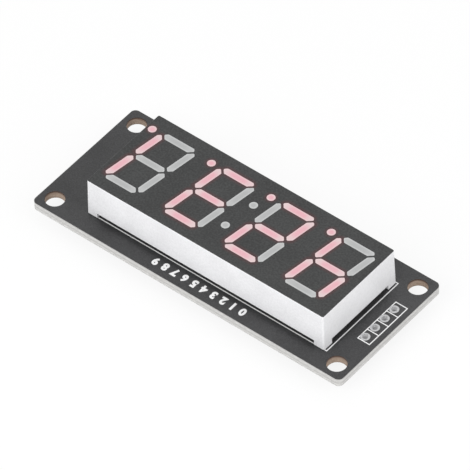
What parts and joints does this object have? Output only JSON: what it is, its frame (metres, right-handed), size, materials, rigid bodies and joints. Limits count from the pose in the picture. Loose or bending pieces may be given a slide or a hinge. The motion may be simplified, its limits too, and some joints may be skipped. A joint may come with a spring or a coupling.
{
  "type": "seven segment display module",
  "caption": "Slanted seven-segment LED clock display with colon and decimal points, soldered to a flat driver board with corner mounting holes and a row of plated header holes.",
  "frame": {"origin": "middle of the four mounting holes, on the rear face of the circuit board", "axes": "+X along the board's long side, the way the digits read; +Y to the top of the digits; +Z out of the display's face"},
  "size_m": [0.0654, 0.0268, 0.0123],
  "materials": {
    "board_mask": "matte black solder mask on glass-fibre board",
    "tin_plate": "bright tin plate",
    "solder": "smooth solder",
    "white_shell": "white moulded plastic with a grey printed face",
    "unlit_resin": "milky cast resin",
    "lit_resin": "milky cast resin lit pink-red from behind",
    "led_board": "pale laminate",
    "rear_resin": "clear cast resin",
    "led_chip": "bare semiconductor chip",
    "chip_black": "matte black moulded epoxy",
    "resistor_black": "glazed black",
    "capacitor_tan": "plain tan"
  },
  "bodies": {
    "root": {"board": "board_mask", "capacitor_bodies": "capacitor_tan", "capacitor_terminals": "solder", "colon_led_chips": "led_chip", "colon_lower": "unlit_resin", "colon_upper": "unlit_resin", "digit_1_led_chips": "led_chip", "digit_1_point": "lit_resin", "digit_1_segment_a": "unlit_resin", "digit_1_segment_b": "lit_resin", "digit_1_segment_c": "lit_resin", "digit_1_segment_d": "unlit_resin", "digit_1_segment_e": "unlit_resin", "digit_1_segment_f": "lit_resin", "digit_1_segment_g": "lit_resin", "digit_2_led_chips": "led_chip", "digit_2_point": "lit_resin", "digit_2_segment_a": "lit_resin", "digit_2_segment_b": "lit_resin", "digit_2_segment_c": "unlit_resin", "digit_2_segment_d": "lit_resin", "digit_2_segment_e": "lit_resin", "digit_2_segment_f": "unlit_resin", "digit_2_segment_g": "lit_resin", "digit_3_led_chips": "led_chip", "digit_3_point": "lit_resin", "digit_3_segment_a": "lit_resin", "digit_3_segment_b": "lit_resin", "digit_3_segment_c": "lit_resin", "digit_3_segment_d": "lit_resin", "digit_3_segment_e": "unlit_resin", "digit_3_segment_f": "unlit_resin", "digit_3_segment_g": "lit_resin", "digit_4_led_chips": "led_chip", "digit_4_point": "lit_resin", "digit_4_segment_a": "unlit_resin", "digit_4_segment_b": "lit_resin", "digit_4_segment_c": "lit_resin", "digit_4_segment_d": "unlit_resin", "digit_4_segment_e": "unlit_resin", "digit_4_segment_f": "unlit_resin", "digit_4_segment_g": "unlit_resin", "display_pins": "tin_plate", "display_shell": "white_shell", "display_solder": "solder", "driver_chip": "chip_black", "driver_leads": "tin_plate", "header_rings": "tin_plate", "led_board": "led_board", "rear_resin": "rear_resin", "resistor_bodies": "resistor_black", "resistor_terminals": "solder"}
  },
  "joints": []
}
